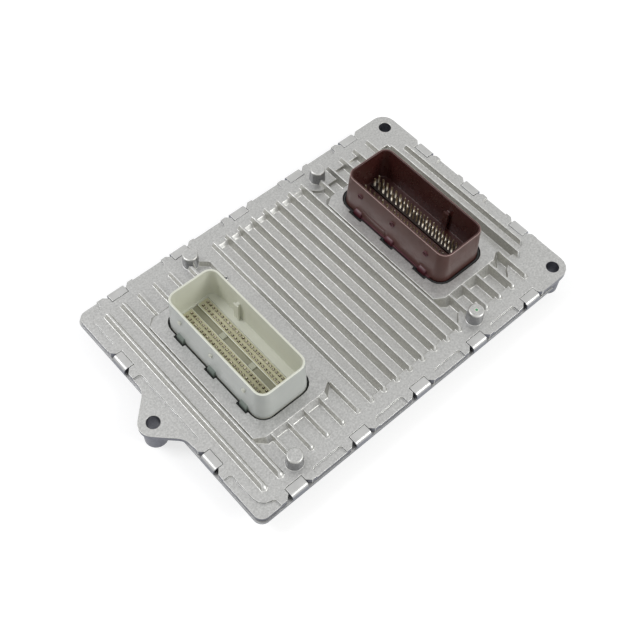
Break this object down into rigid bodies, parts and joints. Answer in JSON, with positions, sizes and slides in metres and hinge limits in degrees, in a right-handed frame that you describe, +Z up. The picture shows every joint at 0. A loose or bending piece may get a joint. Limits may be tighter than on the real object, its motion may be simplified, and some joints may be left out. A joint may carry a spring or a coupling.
{
  "type": "engine control unit",
  "caption": "Flat finned cast-metal engine control unit with three bolt ears, a crimped base tray and two tall pin headers, one off-white and one dark brown.",
  "frame": {"origin": "under the middle of the overall length and width, in the plane of the three boss feet that the unit stands on", "axes": "+Z up out of the finned face, towards the header mouths; +X along the long side, from the single ear towards the two corner ears; +Y along the short side"},
  "size_m": [0.2564, 0.1636, 0.0458],
  "materials": {
    "cast_aluminium": "cast, matt and slightly grainy",
    "sheet_aluminium": "rolled sheet, satin",
    "white_plastic": "moulded, satin, off-white with a green tint",
    "brown_plastic": "moulded, satin, dark red-brown",
    "terminal_olive": "plated pins in an olive block",
    "terminal_brown": "plated pins in a dark brown block",
    "seal_rubber": "black sealing rubber",
    "board_green": "laminate with green solder mask",
    "chip_black": "moulded black",
    "pad_grey": "soft grey thermal pad",
    "part_silver": "plated metal"
  },
  "bodies": {
    "root": {"base_tray": "sheet_aluminium", "board_screw_1": "part_silver", "board_screw_2": "part_silver", "board_screw_3": "part_silver", "board_screw_4": "part_silver", "board_screw_5": "part_silver", "board_screw_6": "part_silver", "brown_header": "brown_plastic", "brown_header_seal": "seal_rubber", "brown_terminals_front": "terminal_brown", "brown_terminals_rear": "terminal_brown", "bulk_capacitor_1": "part_silver", "bulk_capacitor_2": "part_silver", "bulk_capacitor_3": "part_silver", "bus_transceiver": "chip_black", "circuit_board": "board_green", "clock_crystal": "part_silver", "housing_cover": "cast_aluminium", "ignition_driver": "chip_black", "injector_driver_1": "chip_black", "injector_driver_2": "chip_black", "main_processor": "chip_black", "memory_chip": "chip_black", "perimeter_seal": "seal_rubber", "power_inductor": "chip_black", "thermal_pad_ignition_driver": "pad_grey", "thermal_pad_injector_driver_1": "pad_grey", "thermal_pad_injector_driver_2": "pad_grey", "thermal_pad_main_processor": "pad_grey", "thermal_pad_voltage_regulator": "pad_grey", "voltage_regulator": "chip_black", "white_header": "white_plastic", "white_header_seal": "seal_rubber", "white_terminals_front": "terminal_olive", "white_terminals_rear": "terminal_olive"}
  },
  "joints": []
}
